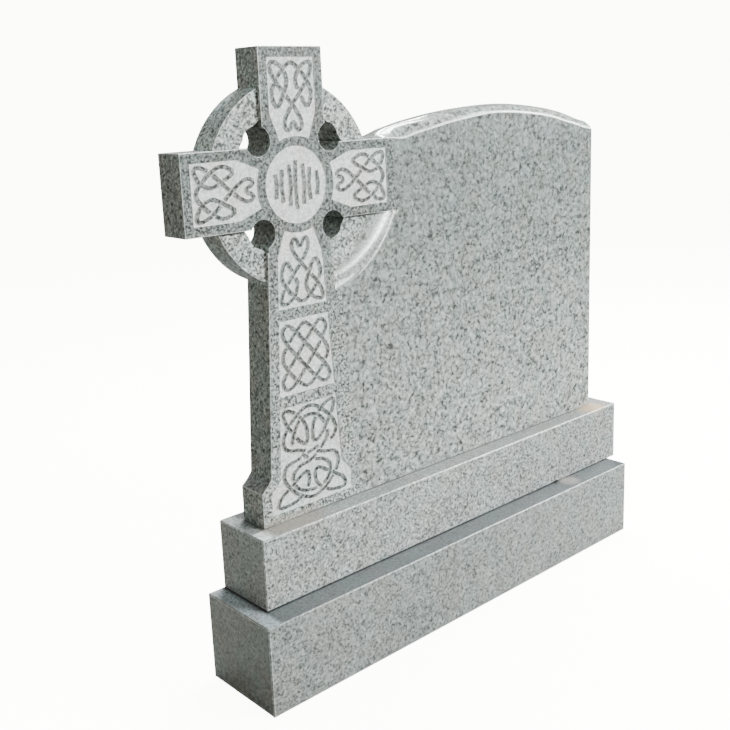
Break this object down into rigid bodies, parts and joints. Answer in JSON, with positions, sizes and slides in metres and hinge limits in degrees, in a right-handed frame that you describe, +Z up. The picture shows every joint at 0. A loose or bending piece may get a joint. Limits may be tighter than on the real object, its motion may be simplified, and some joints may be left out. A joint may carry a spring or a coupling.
{
  "type": "celtic cross headstone",
  "caption": "Granite headstone: a ringed Celtic cross with carved knotwork panels joined to a curved-top tablet, standing on a plinth and a base.",
  "frame": {"origin": "middle of the base's underside", "axes": "+Z up, +X to the viewer's right when facing the carved side, so the cross is at -X; the carved face looks along -Y"},
  "size_m": [1.7793, 0.292, 1.7821],
  "materials": {
    "base_granite": "light grey speckled granite, finely rubbed faces with a darker top",
    "plinth_granite": "light grey speckled granite, finely rubbed",
    "carved_granite": "light grey speckled granite, polished face with frosted sunk panels"
  },
  "bodies": {
    "root": {"base": "base_granite", "plinth": "plinth_granite", "headstone": "carved_granite"}
  },
  "joints": []
}
